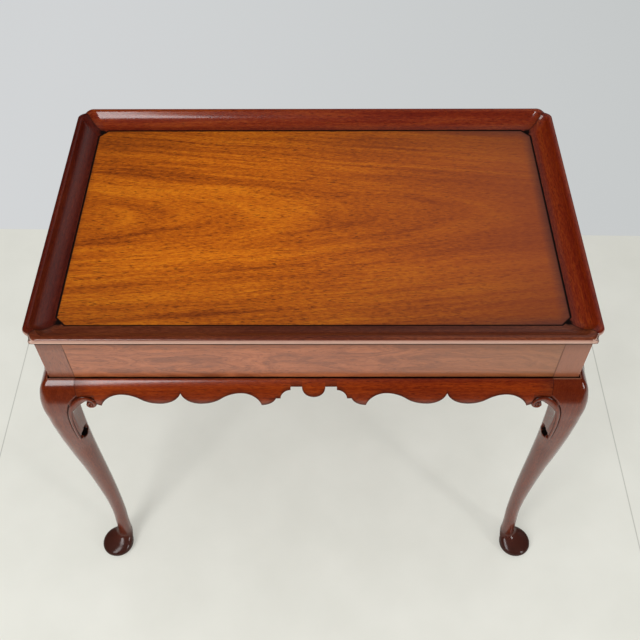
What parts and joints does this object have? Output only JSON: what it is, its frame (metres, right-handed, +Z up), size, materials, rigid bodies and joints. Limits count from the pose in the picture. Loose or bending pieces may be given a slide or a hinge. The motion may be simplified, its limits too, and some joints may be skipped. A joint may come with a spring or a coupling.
{
  "type": "tray top tea table",
  "caption": "Oblong tea table with a sunk tray top, moulded rim with cusped corners, plain frieze, scalloped apron and cabriole legs on pad feet.",
  "frame": {"origin": "on the floor under the middle of the table", "axes": "+X along the length of the tray, +Y to the back, +Z up"},
  "size_m": [0.813, 0.515, 0.6715],
  "materials": {
    "bed_mahogany": "figured mahogany, french polished, glossy",
    "rim_mahogany": "dark red-brown mahogany, glossy",
    "frieze_mahogany": "mahogany, satin polish",
    "apron_mahogany": "mahogany, polished",
    "leg_mahogany": "red-brown mahogany, polished",
    "block_wood": "unfinished secondary wood"
  },
  "bodies": {
    "root": {"apron_back": "apron_mahogany", "apron_front": "apron_mahogany", "apron_glue_blocks": "block_wood", "apron_left": "apron_mahogany", "apron_right": "apron_mahogany", "corner_block_back_left": "block_wood", "corner_block_back_right": "block_wood", "corner_block_front_left": "block_wood", "corner_block_front_right": "block_wood", "frieze_rail_back": "frieze_mahogany", "frieze_rail_front": "frieze_mahogany", "frieze_rail_left": "frieze_mahogany", "frieze_rail_right": "frieze_mahogany", "knee_bracket_back_left_back": "leg_mahogany", "knee_bracket_back_left_left": "leg_mahogany", "knee_bracket_back_right_back": "leg_mahogany", "knee_bracket_back_right_right": "leg_mahogany", "knee_bracket_front_left_front": "leg_mahogany", "knee_bracket_front_left_left": "leg_mahogany", "knee_bracket_front_right_front": "leg_mahogany", "knee_bracket_front_right_right": "leg_mahogany", "leg_back_left": "leg_mahogany", "leg_back_right": "leg_mahogany", "leg_front_left": "leg_mahogany", "leg_front_right": "leg_mahogany", "panel_glue_blocks": "block_wood", "rim_back": "rim_mahogany", "rim_front": "rim_mahogany", "rim_left": "rim_mahogany", "rim_right": "rim_mahogany", "tray_panel": "bed_mahogany"}
  },
  "joints": []
}
